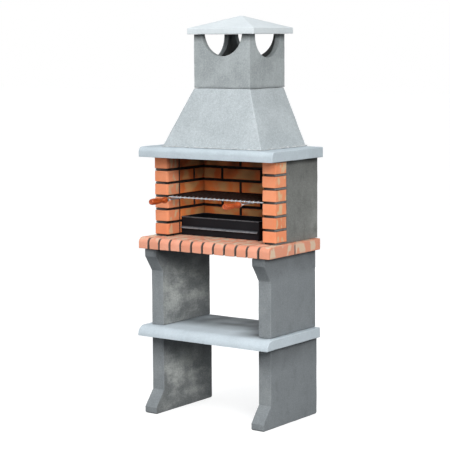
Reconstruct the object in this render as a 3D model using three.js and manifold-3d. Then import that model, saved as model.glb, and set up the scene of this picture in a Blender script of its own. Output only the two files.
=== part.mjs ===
// Free-standing masonry barbecue: concrete legs and slabs, a brick hearth and firebox, a hood
// and chimney, a wire grill that slides in the raked brick joints, and a charcoal box with an
// ash drawer. Millimetres, +Z up, +X to the right as seen from the front.
//
// While it is modelled, Y = 0 is the plane of the upright back and the front lies at -Y. At the
// end the group is moved so that its origin lies on the ground under the middle of its box.

import * as THREE from 'three';
import { mergeVertices } from 'three/addons/utils/BufferGeometryUtils.js';
import Module from 'manifold-3d';

// Clearances and facet counts
const seatGap = 0.3;
const cutOverrun = 4;
const weldDepth = 0.8;
const mergeDistance = 1e-4;
const quarterSteps = 7;
const wireSides = 6;
const rodSides = 8;
const turnedSides = 24;
const turnedSteps = 14;

// How far the lower legs and the firebox reach back beyond the shelf and the hearth, and how far
// the three slabs lie to the left of the middle
const rearStep = 12;
const slabShiftX = -4;

// Lower legs
const lowerLegHeight = 387;
const legThickness = 72;
const legSetback = 31.5;
const legDepth = 392;
const toeReach = 64;
const toeFaceHeight = 34;
const toeTopHeight = 112;
const toeChamfer = 7;
const castChamfer = 3;

// Shelf slab
const shelfWidth = 777;
const shelfDepth = 462;
const shelfThickness = 50;
const shelfNoseRadius = 46;

// Upper legs
const upperLegHeight = 383.5;
const corbelReach = 52;
const corbelFaceHeight = 36.5;
const corbelSlopeHeight = 76;

// Hearth
const hearthBrickWidth = 55.45;
const hearthBrickLength = 219;
const hearthThickness = 56;
const hearthNoseRadius = 27;
const hearthJoint = 10;
const hearthCrossJoint = 9;
const hearthColumns = 12;
const hearthTopRake = 3;
const hearthFrontRake = 15;

// Brickwork of the firebox
const brickHeight = 55;
const brickLength = 224;
const bedJoint = 10;
const headJoint = 13;
const firstBed = 9;
const lastBed = 5;
const courses = 6;
const arrisRadius = 12;

// Firebox
const fireboxWidth = 720;
const pillarWidth = 81;
const pillarDepth = 92;
const pillarFront = 353;
const pillarHeadJoint = 8;
const pillarRake = 10;
const outerRake = 2;
const liningThickness = 30;
const liningRake = 12;
const backLiningFace = 61;

// Mantel slab
const mantelWidth = 795;
const mantelDepth = 441;
const mantelThickness = 51;
const mantelNoseRadius = 26;

// Hood, chimney and cap
const hoodWidth = 588;
const hoodDepth = 387;
const hoodHeight = 285;
const hoodWall = 34;
const chimneyWidth = 332;
const chimneyDepth = 296;
const chimneyHeight = 259;
const chimneyWall = 29;
const chimneyShiftX = 3;
const frontOutletRadius = 122;
const frontOutletDepth = 106;
const backOutletRadius = 116;
const backOutletDepth = 108;
const backOutletShiftX = 5;
const sideOutletRadius = 104;
const sideOutletDepth = 113;
const capOverhangX = 31;
const capOverhangY = 22;
const capShiftX = 7;
const capShiftY = -2;
const capCrownShiftX = 9;
const capFascia = 29;
const capRise = 59;
const capCrown = 14;
const capDripInset = 6;
const capDripDepth = 6;
const capDripWidth = 9;

// Grill
const coursesUnderGrill = 3;
const grillSideClearance = 4;
const grillFront = 345;
const grillBackClearance = 2;
const frameRodDiameter = 6;
const gridWireDiameter = 4.5;
const gridSpaces = 22;
const crossRods = 2;
const wireOverhang = 4;
const bracketOffset = 217;
const bracketWidth = 25;
const bracketReach = 85;
const bracketWireDiameter = 5;

// Handles
const handleLength = 133;
const handleDiameter = 31;
const handleTipDimple = 7;
const ferruleLength = 14;
const ferruleDiameter = 21;
const ferruleWall = 1.5;
const tangDiameter = 6;
const tangLength = 70;

// Charcoal box
const boxLeft = 277;
const boxWidth = 469;
const boxDepth = 186;
const boxHeight = 92;
const boxSheet = 2;
const boxHem = 7;
const ledgeHeight = 44;
const ledgeWidth = 9;

// Charcoal grate
const grateThickness = 4;
const grateClearance = 1.5;
const grateSlots = 22;
const grateSlotWidth = 9;
const grateRim = 14;

// Ash drawer
const drawerSideMargin = 4.5;
const drawerSheet = 1.5;
const drawerFrontHeight = 43;
const drawerTrayHeight = 30;
const drawerLip = 12;
const drawerLipDrop = 9;
const drawerClearance = 2;
const drawerFloorClearance = 0.3;

// Levels, each the underside of the piece named
const shelfLevel = lowerLegHeight;
const upperLegLevel = shelfLevel + shelfThickness;
const hearthLevel = upperLegLevel + upperLegHeight;
const fireboxLevel = hearthLevel + hearthThickness;
const fireboxHeight = firstBed + courses * brickHeight + (courses - 1) * bedJoint + lastBed;
const mantelLevel = fireboxLevel + fireboxHeight;
const hoodLevel = mantelLevel + mantelThickness;
const chimneyLevel = hoodLevel + hoodHeight;
const capLevel = chimneyLevel + chimneyHeight;

// Planes of the firebox
const openingHalf = fireboxWidth / 2 - pillarWidth;
const casingInner = openingHalf + liningThickness;
const pillarBack = pillarFront - pillarDepth;
const liningFront = pillarBack - pillarHeadJoint;
const casingBackFace = backLiningFace - liningThickness;

const wasm = await Module();
wasm.setup();

const barbecue = new THREE.Group();

// Adds one piece to the barbecue
function place(name, geometry, color, roughness, metalness, x = 0, y = 0, z = 0) {
  const material = new THREE.MeshStandardMaterial({ color, roughness, metalness });
  const mesh = new THREE.Mesh(geometry, material);
  mesh.name = name;
  mesh.position.set(x, y, z);
  barbecue.add(mesh);
  return mesh;
}

// A closed geometry as a solid that can be cut and joined
function solid(geometry) {
  const bare = geometry.clone();
  bare.deleteAttribute('normal');
  bare.deleteAttribute('uv');
  const merged = mergeVertices(bare, mergeDistance);
  const vertProperties = new Float32Array(merged.attributes.position.array);
  const triVerts = new Uint32Array(merged.index.array);
  return new wasm.Manifold(new wasm.Mesh({ numProp: 3, vertProperties, triVerts }));
}

// The geometry of a solid
function geometryOf(shape) {
  const mesh = shape.getMesh();
  const geometry = new THREE.BufferGeometry();
  geometry.setAttribute('position', new THREE.BufferAttribute(new Float32Array(mesh.vertProperties), 3));
  geometry.setIndex(new THREE.BufferAttribute(new Uint32Array(mesh.triVerts), 1));
  geometry.computeVertexNormals();
  return geometry;
}

function joined(geometries) {
  return geometries.map(solid).reduce((whole, next) => whole.add(next));
}

// A block between two corners
function block(x0, x1, y0, y1, z0, z1) {
  const geometry = new THREE.BoxGeometry(x1 - x0, y1 - y0, z1 - z0);
  return geometry.translate((x0 + x1) / 2, (y0 + y1) / 2, (z0 + z1) / 2);
}

// A shape drawn as (Y, Z) and drawn out along +X, its two outlines chamfered
function extrudeAcross(shape, length, chamfer = 0) {
  const geometry = new THREE.ExtrudeGeometry(shape, {
    depth: length - 2 * chamfer,
    bevelEnabled: chamfer > 0,
    bevelThickness: chamfer,
    bevelSize: chamfer,
    bevelOffset: -chamfer,
    bevelSegments: 1,
    curveSegments: quarterSteps,
  });
  const axes = new THREE.Matrix4().makeBasis(
    new THREE.Vector3(0, 1, 0),
    new THREE.Vector3(0, 0, 1),
    new THREE.Vector3(1, 0, 0),
  );
  return geometry.translate(0, 0, chamfer).applyMatrix4(axes);
}

// A shape drawn as (X, Y) and drawn up along +Z
function extrudeUp(shape, height) {
  return new THREE.ExtrudeGeometry(shape, {
    depth: height,
    bevelEnabled: false,
    curveSegments: quarterSteps,
  });
}

// A shape drawn as (X, Z) and drawn back along +Y
function extrudeBack(shape, depth) {
  const geometry = new THREE.ExtrudeGeometry(shape, {
    depth,
    bevelEnabled: false,
    curveSegments: 3 * quarterSteps,
  });
  return geometry.rotateX(Math.PI / 2).translate(0, depth, 0);
}

function outline(points) {
  return new THREE.Shape(points.map(([u, v]) => new THREE.Vector2(u, v)));
}

function rectangle(u0, u1, v0, v1) {
  return outline([[u0, v0], [u1, v0], [u1, v1], [u0, v1]]);
}

// Side view of a slab or brick whose upper front edge is rounded
function bullnose(depth, height, radius) {
  const shape = new THREE.Shape();
  shape.moveTo(0, 0);
  shape.lineTo(-depth, 0);
  shape.lineTo(-depth, height - radius);
  shape.absarc(radius - depth, height - radius, radius, Math.PI, Math.PI / 2, true);
  shape.lineTo(0, height);
  return shape;
}

// A solid through rectangles [x0, x1, y0, y1, z], one above the other
function loft(sections) {
  const positions = sections.flatMap(([x0, x1, y0, y1, z]) => [
    x0, y0, z, x1, y0, z, x1, y1, z, x0, y1, z,
  ]);
  const index = [0, 2, 1, 0, 3, 2];
  const last = 4 * (sections.length - 1);
  index.push(last, last + 1, last + 2, last, last + 2, last + 3);
  for (let level = 0; level < sections.length - 1; level++) {
    for (let side = 0; side < 4; side++) {
      const a = 4 * level + side;
      const b = 4 * level + (side + 1) % 4;
      index.push(a, b, b + 4, a, b + 4, a + 4);
    }
  }
  const geometry = new THREE.BufferGeometry();
  geometry.setAttribute('position', new THREE.Float32BufferAttribute(positions, 3));
  geometry.setIndex(index);
  geometry.computeVertexNormals();
  return geometry;
}

// A straight rod between two points
function rod(from, to, diameter, sides) {
  const start = new THREE.Vector3(...from);
  const along = new THREE.Vector3(...to).sub(start);
  const geometry = new THREE.CylinderGeometry(diameter / 2, diameter / 2, along.length(), sides);
  const direction = along.clone().normalize();
  const turn = new THREE.Quaternion().setFromUnitVectors(new THREE.Vector3(0, 1, 0), direction);
  const middle = start.addScaledVector(along, 1 / 2);
  return geometry.applyQuaternion(turn).translate(...middle.toArray());
}

// A rod bent along a smooth path
function bentRod(points, diameter, sides) {
  const section = new THREE.Shape();
  for (let side = 0; side < sides; side++) {
    const angle = 2 * Math.PI * side / sides;
    const u = Math.cos(angle) * diameter / 2;
    const v = Math.sin(angle) * diameter / 2;
    if (side === 0) section.moveTo(u, v);
    else section.lineTo(u, v);
  }
  const path = new THREE.CatmullRomCurve3(points.map((point) => new THREE.Vector3(...point)));
  return new THREE.ExtrudeGeometry(section, {
    steps: points.length - 1,
    bevelEnabled: false,
    extrudePath: path,
  });
}

// Lower and upper legs

function lowerLegShape() {
  const front = legDepth + rearStep;
  const toe = front + toeReach;
  const top = lowerLegHeight - seatGap;
  return outline([
    [-toeChamfer, 0], [0, toeChamfer], [0, top], [-front, top], [-front, toeTopHeight],
    [-toe, toeFaceHeight], [-toe, toeChamfer], [toeChamfer - toe, 0],
  ]);
}

function upperLegShape() {
  const corbel = legDepth + corbelReach;
  const faceBottom = upperLegHeight - corbelFaceHeight;
  const top = upperLegHeight - seatGap;
  return outline([
    [0, 0], [0, top], [-corbel, top], [-corbel, faceBottom],
    [-legDepth, faceBottom - corbelSlopeHeight], [-legDepth, 0],
  ]);
}

const legColor = 0x8b8d90;
const leftLegX = legSetback - shelfWidth / 2;
const rightLegX = shelfWidth / 2 - legSetback - legThickness;
for (const [side, x] of [['left', leftLegX], ['right', rightLegX]]) {
  place(
    `lower_leg_${side}`, extrudeAcross(lowerLegShape(), legThickness, castChamfer),
    legColor, 0.92, 0, x, rearStep,
  );
  place(
    `upper_leg_${side}`, extrudeAcross(upperLegShape(), legThickness, castChamfer),
    legColor, 0.92, 0, x, 0, upperLegLevel,
  );
}

// Shelf slab

const shelfShape = bullnose(shelfDepth, shelfThickness - seatGap, shelfNoseRadius);
place(
  'shelf_slab', extrudeAcross(shelfShape, shelfWidth, castChamfer),
  0xb9bec4, 0.8, 0, slabShiftX - shelfWidth / 2, 0, shelfLevel,
);

// Hearth: two courses of narrow bricks laid front to back in a grid of mortar

const hearthPitch = hearthBrickWidth + hearthJoint;
const hearthWidth = hearthColumns * hearthPitch - hearthJoint;
const hearthDepth = 2 * hearthBrickLength + hearthCrossJoint;
const hearthBrickHeight = hearthThickness - seatGap;

function hearthMortarShape() {
  const crossBack = -hearthBrickLength - seatGap;
  const crossFront = crossBack - hearthCrossJoint + 2 * seatGap;
  const front = hearthFrontRake - hearthDepth;
  const halfFin = hearthJoint / 2 - seatGap;
  const joints = Array.from(
    { length: hearthColumns - 1 },
    (_, column) => (column + 1) * hearthPitch - hearthJoint / 2,
  );
  const points = [[0, crossFront]];
  for (const x of joints) {
    points.push(
      [x - halfFin, crossFront], [x - halfFin, front],
      [x + halfFin, front], [x + halfFin, crossFront],
    );
  }
  points.push([hearthWidth, crossFront], [hearthWidth, crossBack]);
  for (const x of joints.reverse()) {
    points.push(
      [x + halfFin, crossBack], [x + halfFin, 0],
      [x - halfFin, 0], [x - halfFin, crossBack],
    );
  }
  points.push([0, crossBack]);
  return outline(points);
}

const mortarColor = 0x4a4744;
const brickColors = [0xd98a5f, 0xe2976c, 0xcf7f52, 0xdda47c];
place(
  'hearth_mortar', extrudeUp(hearthMortarShape(), hearthBrickHeight - hearthTopRake),
  mortarColor, 0.95, 0, slabShiftX - hearthWidth / 2, 0, hearthLevel,
);

for (let column = 0; column < hearthColumns; column++) {
  const number = String(column + 1).padStart(2, '0');
  const x = slabShiftX + column * hearthPitch - hearthWidth / 2;
  const nose = bullnose(hearthBrickLength, hearthBrickHeight, hearthNoseRadius);
  const plain = rectangle(-hearthBrickLength, 0, 0, hearthBrickHeight);
  place(
    `hearth_nose_brick_${number}`, extrudeAcross(nose, hearthBrickWidth),
    brickColors[column % brickColors.length], 0.85, 0,
    x, hearthBrickLength - hearthDepth, hearthLevel,
  );
  place(
    `hearth_brick_${number}`, extrudeAcross(plain, hearthBrickWidth),
    brickColors[(column + 2) % brickColors.length], 0.85, 0, x, 0, hearthLevel,
  );
}

// Firebox: brick pillars in front, a brick lining with raked joints, a concrete casing outside

function courseLevel(course) {
  return firstBed + course * (brickHeight + bedJoint);
}

// Plan of a pillar brick, its inner front arris rounded; side is -1 at the left, 1 at the right
function pillarBrickShape(side) {
  const inner = side * openingHalf;
  const outer = side * fireboxWidth / 2;
  const shape = new THREE.Shape();
  const startAngle = side > 0 ? Math.PI : 0;
  shape.moveTo(outer, -pillarBack);
  shape.lineTo(inner, -pillarBack);
  shape.lineTo(inner, arrisRadius - pillarFront);
  shape.absarc(
    inner + side * arrisRadius, arrisRadius - pillarFront, arrisRadius,
    startAngle, -Math.PI / 2, side < 0,
  );
  shape.lineTo(outer, -pillarFront);
  return shape;
}

// Brick ends along a course from one end to the other, the first brick whole or half
function courseBricks(from, to, startsHalf) {
  const bricks = [];
  let start = from;
  let length = startsHalf ? brickLength / 2 : brickLength;
  while (start < to) {
    bricks.push([start, Math.min(start + length, to)]);
    start += length + headJoint;
    length = brickLength;
  }
  return bricks;
}

// Side lining: bricks standing proud of their mortar, and the comb of mortar that the pillar
// bricks of that side are laid in
function sideLining(side) {
  const mortarInner = openingHalf + liningRake;
  const mortarOuter = casingInner - seatGap;
  const top = fireboxHeight - seatGap;
  const combBack = seatGap - pillarBack;
  const combInner = openingHalf + pillarRake;
  const combOuter = fireboxWidth / 2 - outerRake;
  const bodies = [];
  const add = (x0, x1, y0, y1, z0, z1) => {
    bodies.push(block(Math.min(side * x0, side * x1), Math.max(side * x0, side * x1), y0, y1, z0, z1));
  };
  add(mortarInner, mortarOuter, combBack, -casingBackFace - seatGap, 0, top);
  add(combInner, combOuter, combBack, -liningFront, 0, top);
  for (let course = 0; course < courses; course++) {
    const bottom = courseLevel(course);
    const bricks = courseBricks(-liningFront, -casingBackFace - seatGap, course % 2 === 0);
    for (const [y0, y1] of bricks) {
      add(openingHalf, mortarOuter - seatGap, y0, y1, bottom, bottom + brickHeight);
    }
  }
  for (let bed = 0; bed <= courses; bed++) {
    const bottom = bed === 0 ? 0 : courseLevel(bed) - bedJoint + seatGap;
    const last = bed === courses ? top : courseLevel(bed) - seatGap;
    add(combInner, combOuter, pillarRake - pillarFront, combBack + pillarHeadJoint / 2, bottom, last);
  }
  return geometryOf(joined(bodies));
}

function backLining() {
  const half = openingHalf - seatGap;
  const back = -casingBackFace - seatGap;
  const bodies = [block(-half, half, liningRake - backLiningFace, back, 0, fireboxHeight - seatGap)];
  for (let course = 0; course < courses; course++) {
    const bottom = courseLevel(course);
    for (const [x0, x1] of courseBricks(-half, half, course % 2 === 0)) {
      bodies.push(block(x0, x1, -backLiningFace, back - seatGap, bottom, bottom + brickHeight));
    }
  }
  return geometryOf(joined(bodies));
}

const liningColor = 0xb9784d;
const casingColor = 0x67625d;
for (const [name, side] of [['left', -1], ['right', 1]]) {
  for (let course = 0; course < courses; course++) {
    const color = brickColors[(course + (side > 0 ? 1 : 0)) % brickColors.length];
    place(
      `${name}_pillar_brick_${course + 1}`, extrudeUp(pillarBrickShape(side), brickHeight),
      color, 0.85, 0, 0, 0, fireboxLevel + courseLevel(course),
    );
  }
  place(`${name}_lining`, sideLining(side), liningColor, 0.9, 0, 0, 0, fireboxLevel);
  const inner = side * casingInner;
  const outer = side * fireboxWidth / 2;
  const panel = rectangle(
    Math.min(inner, outer), Math.max(inner, outer), seatGap - liningFront, rearStep,
  );
  place(
    `${name}_casing`, extrudeUp(panel, fireboxHeight - seatGap),
    casingColor, 0.95, 0, 0, 0, fireboxLevel,
  );
}
place('back_lining', backLining(), liningColor, 0.9, 0, 0, 0, fireboxLevel);
const backPanel = rectangle(
  seatGap - casingInner, casingInner - seatGap, -casingBackFace, rearStep,
);
place(
  'back_casing', extrudeUp(backPanel, fireboxHeight - seatGap),
  casingColor, 0.95, 0, 0, 0, fireboxLevel,
);

// Mantel slab, with the flue opening that the hood stands round

const hoodInnerHalf = hoodWidth / 2 - hoodWall;

function mantel() {
  const nose = bullnose(mantelDepth, mantelThickness - seatGap, mantelNoseRadius);
  const slab = extrudeAcross(nose, mantelWidth, castChamfer);
  slab.translate(slabShiftX - mantelWidth / 2, 0, 0);
  const flue = block(
    -hoodInnerHalf, hoodInnerHalf, hoodWall - hoodDepth, -hoodWall,
    -cutOverrun, mantelThickness + cutOverrun,
  );
  return geometryOf(solid(slab).subtract(solid(flue)));
}
place('mantel_slab', mantel(), 0xc3c6c9, 0.8, 0, 0, rearStep, mantelLevel);

// Hood: a hollow tapering shell with an upright back

// Plan rectangle of the hood at a height, drawn in by the thickness of its wall
function hoodSection(z, wall) {
  const rise = z / hoodHeight;
  const half = THREE.MathUtils.lerp(hoodWidth, chimneyWidth, rise) / 2 - wall;
  const depth = THREE.MathUtils.lerp(hoodDepth, chimneyDepth, rise) - wall;
  return [-half, half, -depth, -wall, z];
}

function hood() {
  const outside = loft([hoodSection(0, 0), hoodSection(hoodHeight - seatGap, 0)]);
  const inside = loft([hoodSection(-cutOverrun, hoodWall), hoodSection(hoodHeight + cutOverrun, hoodWall)]);
  return geometryOf(solid(outside).subtract(solid(inside)));
}
place('hood', hood(), 0xb4b3b1, 0.9, 0, 0, rearStep, hoodLevel);

// Chimney: a square pipe with an arched outlet in the top of each wall

// Front view of an outlet that is open at the top, its foot a half circle
function outletShape(radius, depth) {
  const spring = chimneyHeight - depth + radius;
  const top = Math.max(spring, chimneyHeight) + cutOverrun;
  const shape = new THREE.Shape();
  shape.moveTo(radius, top);
  shape.lineTo(-radius, top);
  shape.absarc(0, spring, radius, -Math.PI, 0, false);
  return shape;
}

function chimney() {
  const half = chimneyWidth / 2;
  const shaft = rectangle(-half, half, -chimneyDepth, 0);
  const innerHalf = half - chimneyWall;
  shaft.holes.push(rectangle(-innerHalf, innerHalf, chimneyWall - chimneyDepth, -chimneyWall));
  const through = chimneyWall + 2 * cutOverrun;
  const front = extrudeBack(outletShape(frontOutletRadius, frontOutletDepth), through);
  const back = extrudeBack(outletShape(backOutletRadius, backOutletDepth), through);
  const sides = extrudeBack(
    outletShape(sideOutletRadius, sideOutletDepth), chimneyWidth + 2 * cutOverrun,
  );
  front.translate(0, -chimneyDepth - cutOverrun, 0);
  back.translate(backOutletShiftX, -chimneyWall - cutOverrun, 0);
  sides.rotateZ(Math.PI / 2);
  sides.translate(half + cutOverrun, -chimneyDepth / 2, 0);
  const walls = solid(extrudeUp(shaft, chimneyHeight - seatGap));
  return geometryOf([front, back, sides].reduce((body, cut) => body.subtract(solid(cut)), walls));
}
place('chimney', chimney(), 0xa3a4a5, 0.92, 0, chimneyShiftX, rearStep, chimneyLevel);

// Chimney cap: a slab with a low pyramid, and a drip groove round its underside

const capHalf = chimneyWidth / 2 + capOverhangX;
const capFront = -chimneyDepth - capOverhangY + capShiftY;
const capBack = capOverhangY + capShiftY;

function cap() {
  const middle = (capFront + capBack) / 2;
  const crown = capCrown / 2;
  const body = loft([
    [-capHalf, capHalf, capFront, capBack, 0],
    [-capHalf, capHalf, capFront, capBack, capFascia],
    [
      capCrownShiftX - crown, capCrownShiftX + crown, middle - crown, middle + crown,
      capFascia + capRise,
    ],
  ]);
  const drip = (inset) => extrudeUp(
    rectangle(inset - capHalf, capHalf - inset, capFront + inset, capBack - inset),
    capDripDepth + cutOverrun,
  ).translate(0, 0, -cutOverrun);
  const groove = solid(drip(capDripInset)).subtract(solid(drip(capDripInset + capDripWidth)));
  return geometryOf(solid(body).subtract(groove));
}
place('chimney_cap', cap(), 0xd3d6da, 0.75, 0, chimneyShiftX + capShiftX, rearStep, capLevel);

// Grill: rods and wires welded together. Its outer rods lie in the raked joints of the lining.

const grooveFloor = fireboxLevel + courseLevel(coursesUnderGrill) - bedJoint;
const grillHalf = openingHalf + Math.min(pillarRake, liningRake) - grillSideClearance;
const frameLevel = grooveFloor + seatGap + frameRodDiameter / 2;
const gridLevel = frameLevel + (frameRodDiameter + gridWireDiameter) / 2 - weldDepth;
const bracketLevel = frameLevel - (frameRodDiameter + bracketWireDiameter) / 2 + weldDepth;
const grillBack = backLiningFace + grillBackClearance + frameRodDiameter / 2;
const sideRodX = grillHalf - frameRodDiameter / 2;

function crossRodY(cross) {
  return THREE.MathUtils.lerp(-grillFront, -grillBack, cross / (crossRods + 1));
}

// Bracket: one wire bent to a U, its tails welded under the front rod and the first cross rod,
// its bend carrying the tang
function bracket(x) {
  const radius = (bracketWidth - bracketWireDiameter) / 2;
  const bendY = radius - grillFront - bracketReach;
  const tailY = crossRodY(1) + wireOverhang;
  const bend = Array.from({ length: 2 * quarterSteps + 1 }, (_, step) => {
    const angle = Math.PI * (1 + step / (2 * quarterSteps));
    return [x + radius * Math.cos(angle), bendY + radius * Math.sin(angle), bracketLevel];
  });
  const tails = [-radius, radius].map((offset) => rod(
    [x + offset, bendY - weldDepth, bracketLevel], [x + offset, tailY, bracketLevel],
    bracketWireDiameter, rodSides,
  ));
  const tang = rod(
    [x, bendY - radius + weldDepth, bracketLevel], [x, bendY - radius - tangLength, bracketLevel],
    tangDiameter, rodSides,
  );
  return [bentRod(bend, bracketWireDiameter, rodSides), ...tails, tang];
}

function grill() {
  const bodies = [];
  for (const y of [-grillFront, -grillBack]) {
    bodies.push(rod([-grillHalf, y, frameLevel], [grillHalf, y, frameLevel], frameRodDiameter, rodSides));
  }
  for (const x of [-sideRodX, sideRodX]) {
    bodies.push(rod([x, -grillFront, frameLevel], [x, -grillBack, frameLevel], frameRodDiameter, rodSides));
  }
  for (let cross = 1; cross <= crossRods; cross++) {
    const y = crossRodY(cross);
    bodies.push(rod([-sideRodX, y, frameLevel], [sideRodX, y, frameLevel], frameRodDiameter, rodSides));
  }
  for (let wire = 1; wire < gridSpaces; wire++) {
    const x = THREE.MathUtils.lerp(-sideRodX, sideRodX, wire / gridSpaces);
    bodies.push(rod(
      [x, -grillFront - wireOverhang, gridLevel], [x, -grillBack, gridLevel],
      gridWireDiameter, wireSides,
    ));
  }
  bodies.push(...bracket(-bracketOffset), ...bracket(bracketOffset));
  return geometryOf(joined(bodies));
}
place('grill', grill(), 0xc9ccd0, 0.3, 0.9);

// Handles: turned wood on a tang, with a metal ferrule over the spigot. Drawn from the ferrule
// end at 0 to the tip at -handleLength, as [radius, place] along the handle's axis.

const boreRadius = tangDiameter / 2 + seatGap;
const spigotRadius = ferruleDiameter / 2 - ferruleWall - seatGap;

// Shares of the turned length, from shoulder to tip, and of the greatest radius there
const handleShares = [
  [0, 0.74], [0.07, 0.98], [0.24, 0.73], [0.55, 0.92], [0.82, 1], [0.94, 0.93], [1, 0.68],
];

function handleProfile() {
  const boreEnd = tangLength - ferruleWall;
  const shoulder = ferruleLength - ferruleWall - seatGap;
  const body = handleLength - shoulder;
  const curve = new THREE.SplineCurve(handleShares.map(
    ([along, radius]) => new THREE.Vector2(radius * handleDiameter / 2, -shoulder - along * body),
  ));
  return [
    [0, -boreEnd], [boreRadius, -boreEnd], [boreRadius, 0], [spigotRadius, 0], [spigotRadius, -shoulder],
    ...curve.getPoints(turnedSteps).map((point) => point.toArray()),
    [handleTipDimple / 2, -handleLength], [0, handleTipDimple / 2 - handleLength],
  ];
}

function ferruleProfile() {
  const outer = ferruleDiameter / 2;
  const inner = outer - ferruleWall;
  return [
    [boreRadius, 0], [outer - ferruleWall / 2, 0], [outer, -ferruleWall / 2], [outer, -ferruleLength],
    [inner, -ferruleLength], [inner, -ferruleWall], [boreRadius, -ferruleWall], [boreRadius, 0],
  ];
}

function turned(profile) {
  const points = profile.map(([radius, height]) => new THREE.Vector2(radius, height)).reverse();
  return new THREE.LatheGeometry(points, turnedSides);
}

const ferruleBack = -grillFront - bracketReach - bracketWireDiameter / 2 - seatGap;
for (const [name, side] of [['left', -1], ['right', 1]]) {
  const x = side * bracketOffset;
  place(
    `${name}_handle`, turned(handleProfile()), 0xa5502c, 0.5, 0,
    x, ferruleBack - ferruleWall - seatGap, bracketLevel,
  );
  place(`${name}_ferrule`, turned(ferruleProfile()), 0xc4c4c0, 0.35, 0.9, x, ferruleBack, bracketLevel);
}

// Charcoal box: folded sheet, open at the top, with a ledge for the grate and an opening in
// front for the ash drawer. Its own corner is its front left foot, and it stands on the hearth.

const boxFront = backLiningFace + boxDepth;
const drawerWidth = boxWidth - 2 * drawerSideMargin;

function charcoalBox() {
  const inside = (margin, z0, z1) => block(
    margin, boxWidth - margin, margin, boxDepth - margin, z0, z1,
  );
  const shell = solid(block(0, boxWidth, 0, boxDepth, 0, boxHeight));
  const hollow = solid(inside(boxSheet, boxSheet, ledgeHeight - boxSheet));
  const ledgeOpening = solid(inside(
    boxSheet + ledgeWidth, ledgeHeight - cutOverrun, ledgeHeight + cutOverrun,
  ));
  const fire = solid(inside(boxSheet, ledgeHeight, boxHeight - boxSheet));
  const mouth = solid(inside(boxHem, boxHeight - cutOverrun, boxHeight + cutOverrun));
  const drawerMouth = solid(block(
    drawerSideMargin + drawerClearance, boxWidth - drawerSideMargin - drawerClearance,
    -cutOverrun, boxSheet + cutOverrun, boxSheet, boxSheet + drawerTrayHeight + drawerClearance,
  ));
  const cuts = [hollow, ledgeOpening, fire, mouth, drawerMouth];
  return geometryOf(cuts.reduce((body, cut) => body.subtract(cut), shell));
}

// A flat grate with slots from front to back
function charcoalGrate() {
  const width = boxWidth - 2 * (boxSheet + grateClearance);
  const depth = boxDepth - 2 * (boxSheet + grateClearance);
  const pitch = (width - 2 * grateRim) / grateSlots;
  let plate = solid(extrudeUp(rectangle(0, width, 0, depth), grateThickness));
  for (let slot = 0; slot < grateSlots; slot++) {
    const middle = grateRim + (slot + 1 / 2) * pitch;
    plate = plate.subtract(solid(block(
      middle - grateSlotWidth / 2, middle + grateSlotWidth / 2, grateRim, depth - grateRim,
      -cutOverrun, grateThickness + cutOverrun,
    )));
  }
  return geometryOf(plate);
}

// Ash drawer: a tray behind a front sheet whose upper edge is folded into a pull lip
function ashDrawer() {
  const trayInset = 2 * drawerClearance;
  const trayBack = boxDepth - boxSheet - drawerClearance;
  const front = -seatGap - drawerSheet;
  const tray = solid(block(
    trayInset, drawerWidth - trayInset,
    -seatGap - drawerSheet / 2, trayBack, 0, drawerTrayHeight,
  ));
  const hollow = solid(block(
    trayInset + drawerSheet, drawerWidth - trayInset - drawerSheet, -seatGap,
    trayBack - drawerSheet, drawerSheet, drawerTrayHeight + cutOverrun,
  ));
  const facing = outline([
    [-seatGap, 0], [-seatGap, drawerFrontHeight], [front, drawerFrontHeight],
    [front - drawerLip, drawerFrontHeight - drawerLipDrop],
    [front - drawerLip, drawerFrontHeight - drawerLipDrop - drawerSheet],
    [front, drawerFrontHeight - 2 * drawerSheet], [front, 0],
  ]);
  return geometryOf(tray.subtract(hollow).add(solid(extrudeAcross(facing, drawerWidth))));
}

const steelColor = 0x1c1d20;
place('charcoal_box', charcoalBox(), steelColor, 0.45, 0.6, -boxLeft, -boxFront, fireboxLevel);
place(
  'charcoal_grate', charcoalGrate(), 0x26262a, 0.6, 0.6,
  boxSheet + grateClearance - boxLeft, boxSheet + grateClearance - boxFront,
  fireboxLevel + ledgeHeight + seatGap,
);
place(
  'ash_drawer', ashDrawer(), steelColor, 0.45, 0.6,
  drawerSideMargin - boxLeft, -boxFront, fireboxLevel + boxSheet + drawerFloorClearance,
);

// The origin lies on the ground, under the middle of the whole barbecue's box
const frontReach = -ferruleBack + ferruleWall + seatGap + handleLength;
barbecue.position.set(-slabShiftX, (frontReach - capBack - rearStep) / 2, 0);

export default barbecue;
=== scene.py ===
import math
import random

import bmesh
import bpy
from mathutils import Matrix, Vector, noise


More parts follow.
